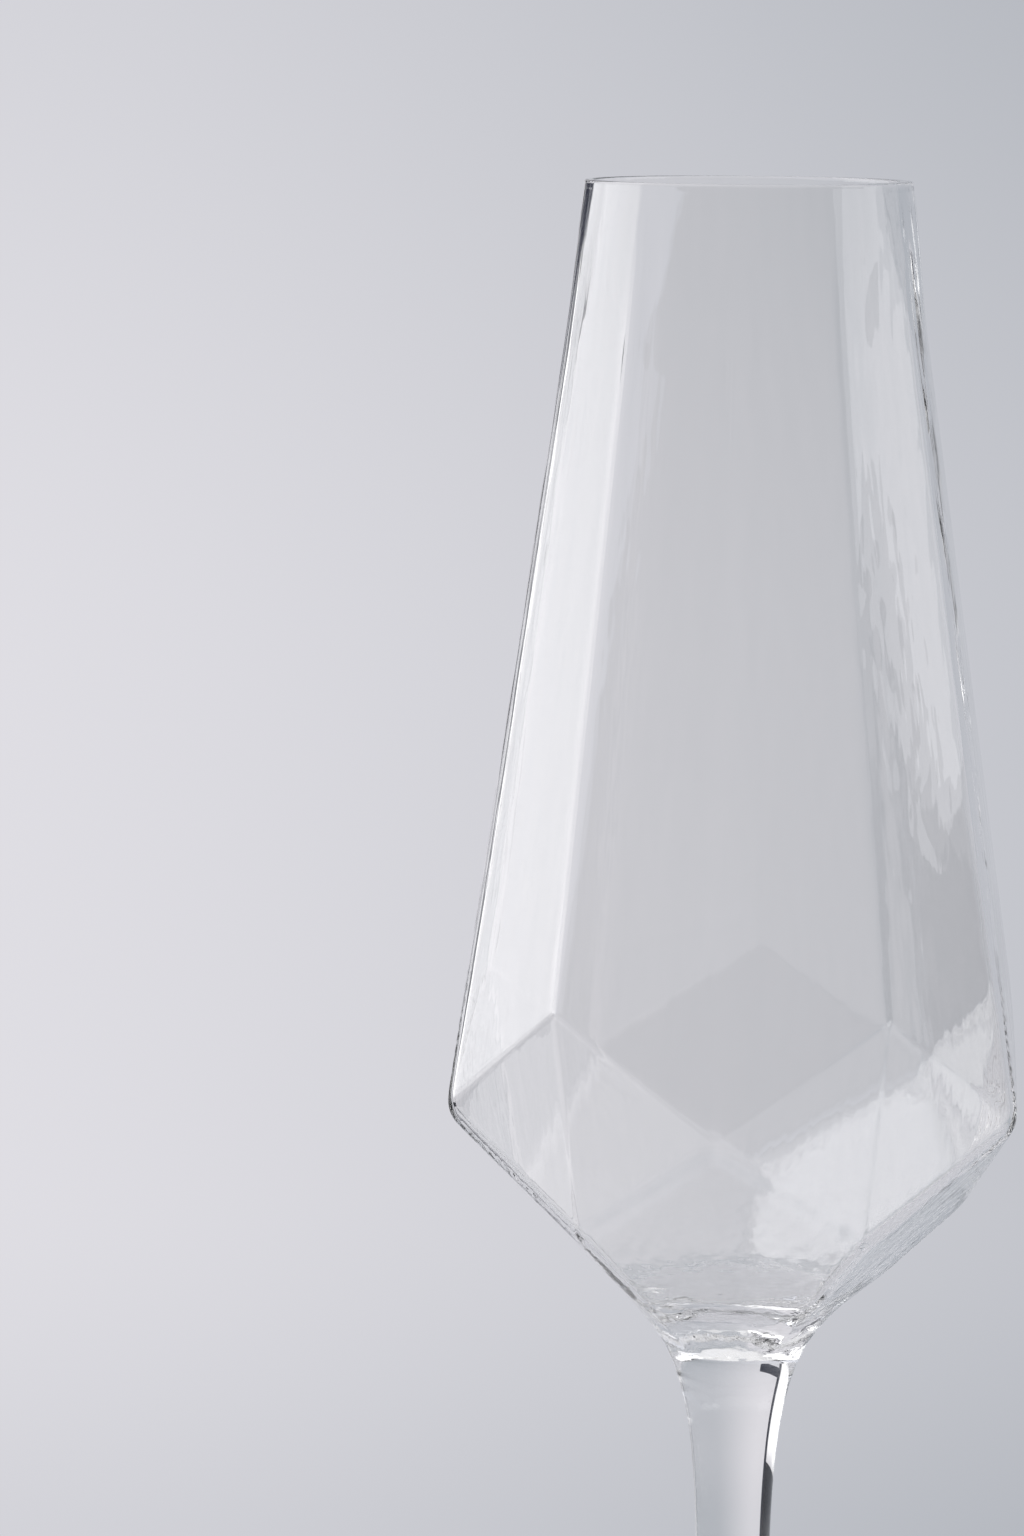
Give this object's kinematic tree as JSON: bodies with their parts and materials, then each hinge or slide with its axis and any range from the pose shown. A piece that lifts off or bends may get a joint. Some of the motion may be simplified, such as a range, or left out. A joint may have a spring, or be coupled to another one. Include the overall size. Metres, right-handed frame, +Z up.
{
  "type": "champagne glass",
  "caption": "Clear champagne flute: narrow round rim, zigzag waist, faceted lower bowl with a solid base, drawn stem and round domed foot.",
  "frame": {"origin": "centre of the plane that the foot stands on", "axes": "+Z up along the stem, -Y through the middle of one facet"},
  "size_m": [0.074, 0.074, 0.2405],
  "materials": {
    "bowl_glass": "clear mould-blown glass, fire-polished lip, faint waviness on the inside",
    "stem_glass": "clear drawn glass rod, fire-polished",
    "foot_glass": "clear pressed glass, fire-polished"
  },
  "bodies": {
    "root": {"bowl": "bowl_glass", "stem": "stem_glass", "foot": "foot_glass"}
  },
  "joints": []
}
